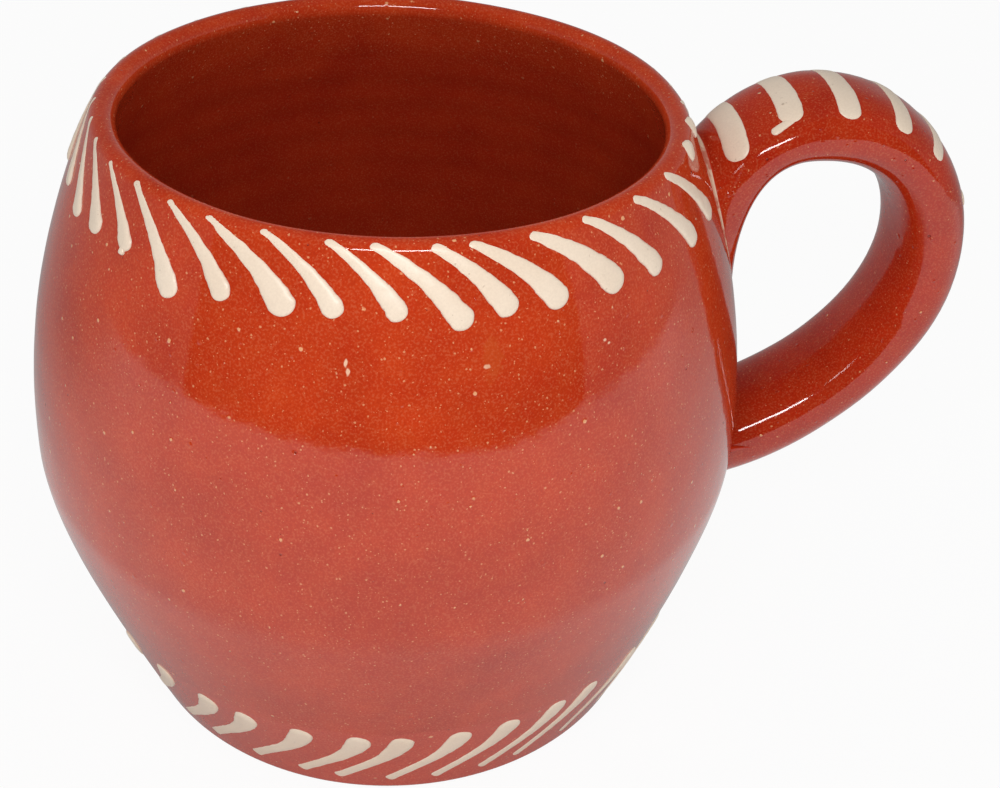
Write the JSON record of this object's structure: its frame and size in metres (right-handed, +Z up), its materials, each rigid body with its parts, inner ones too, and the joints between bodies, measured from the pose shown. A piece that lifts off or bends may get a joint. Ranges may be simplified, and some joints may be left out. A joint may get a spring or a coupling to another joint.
{
  "type": "clay mug",
  "caption": "Round-bellied red clay mug with a rolled rim, a pulled strap handle and borders of raised cream slip strokes, for hot or cold drinks.",
  "frame": {"origin": "centre of the base, on the plane that the mug stands on", "axes": "+Z up along the axis of the body, +X towards the handle"},
  "size_m": [0.1314, 0.1, 0.0904],
  "materials": {
    "glazed_clay": "red earthenware under a clear gloss glaze with fine pale specks",
    "slip": "cream slip under the same clear gloss glaze"
  },
  "bodies": {
    "root": {"body": "glazed_clay", "handle": "glazed_clay", "upper_luting": "glazed_clay", "lower_luting": "glazed_clay", "rim_stroke_01": "slip", "rim_stroke_02": "slip", "rim_stroke_03": "slip", "rim_stroke_04": "slip", "rim_stroke_05": "slip", "rim_stroke_06": "slip", "rim_stroke_07": "slip", "rim_stroke_08": "slip", "rim_stroke_09": "slip", "rim_stroke_10": "slip", "rim_stroke_11": "slip", "rim_stroke_12": "slip", "rim_stroke_13": "slip", "rim_stroke_14": "slip", "rim_stroke_15": "slip", "rim_stroke_16": "slip", "rim_stroke_17": "slip", "rim_stroke_18": "slip", "rim_stroke_19": "slip", "rim_stroke_20": "slip", "rim_stroke_21": "slip", "rim_stroke_22": "slip", "rim_stroke_23": "slip", "rim_stroke_24": "slip", "rim_stroke_25": "slip", "rim_stroke_26": "slip", "rim_stroke_27": "slip", "rim_stroke_28": "slip", "rim_stroke_29": "slip", "rim_stroke_30": "slip", "rim_stroke_31": "slip", "rim_stroke_32": "slip", "rim_stroke_33": "slip", "rim_stroke_34": "slip", "rim_stroke_35": "slip", "rim_stroke_36": "slip", "handle_stroke_01": "slip", "handle_stroke_02": "slip", "handle_stroke_03": "slip", "handle_stroke_04": "slip", "handle_stroke_05": "slip", "handle_stroke_06": "slip", "foot_strokes_01": "slip", "foot_strokes_02": "slip", "foot_strokes_03": "slip", "foot_strokes_04": "slip", "foot_strokes_05": "slip", "foot_strokes_06": "slip", "foot_strokes_07": "slip", "foot_strokes_08": "slip", "foot_strokes_09": "slip", "foot_strokes_10": "slip", "foot_strokes_11": "slip", "foot_strokes_12": "slip"}
  },
  "joints": []
}
